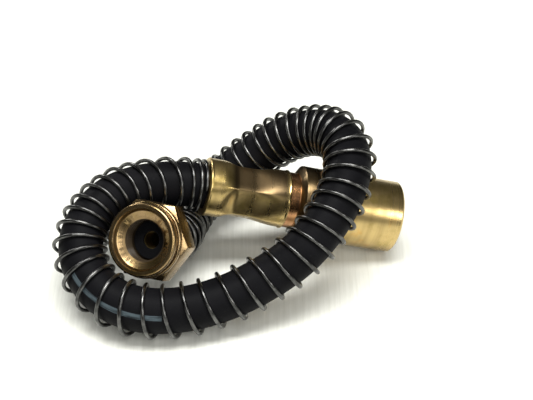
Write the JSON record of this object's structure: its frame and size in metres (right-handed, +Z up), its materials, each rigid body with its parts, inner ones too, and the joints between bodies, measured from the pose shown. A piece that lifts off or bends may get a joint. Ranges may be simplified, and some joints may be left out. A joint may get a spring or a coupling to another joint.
{
  "type": "spring-guarded hose assembly",
  "caption": "Short rubber hose in a full-length wire spring guard, lying in a loose loop, with a crimped brass female socket at one end and a brass swivel nut at the other.",
  "frame": {"origin": "centre of the base of the box round the two end fittings, on the surface that the hose lies on", "axes": "+Z up; +X towards the mouth of the round socket, seen from above; the swivel nut's mouth points towards -Y and up"},
  "size_m": [0.1057, 0.0802, 0.0434],
  "materials": {
    "brass": "turned",
    "spring_wire": "oiled drawn wire",
    "cover_rubber": "smooth extruded",
    "braid": "woven cord",
    "liner_rubber": "smooth",
    "washer": "pressed fibre"
  },
  "bodies": {
    "hose": {"hose_liner": "liner_rubber", "hose_braid": "braid", "hose_cover": "cover_rubber", "spring_guard": "spring_wire", "crimp_sleeve_a": "brass", "barbed_tail_a": "brass", "socket_a": "brass", "seal_washer_a": "washer", "barbed_tail_b": "brass", "seat_washer_b": "washer"},
    "nut": {"swivel_nut_b": "brass"}
  },
  "joints": [
    {"name": "nut_swivel", "type": "hinge", "parent": "hose", "child": "nut", "pos_m": [-0.0303, -0.0098, 0.0206], "axis": [-0.3719, -0.7299, 0.5736], "continuous": true}
  ]
}
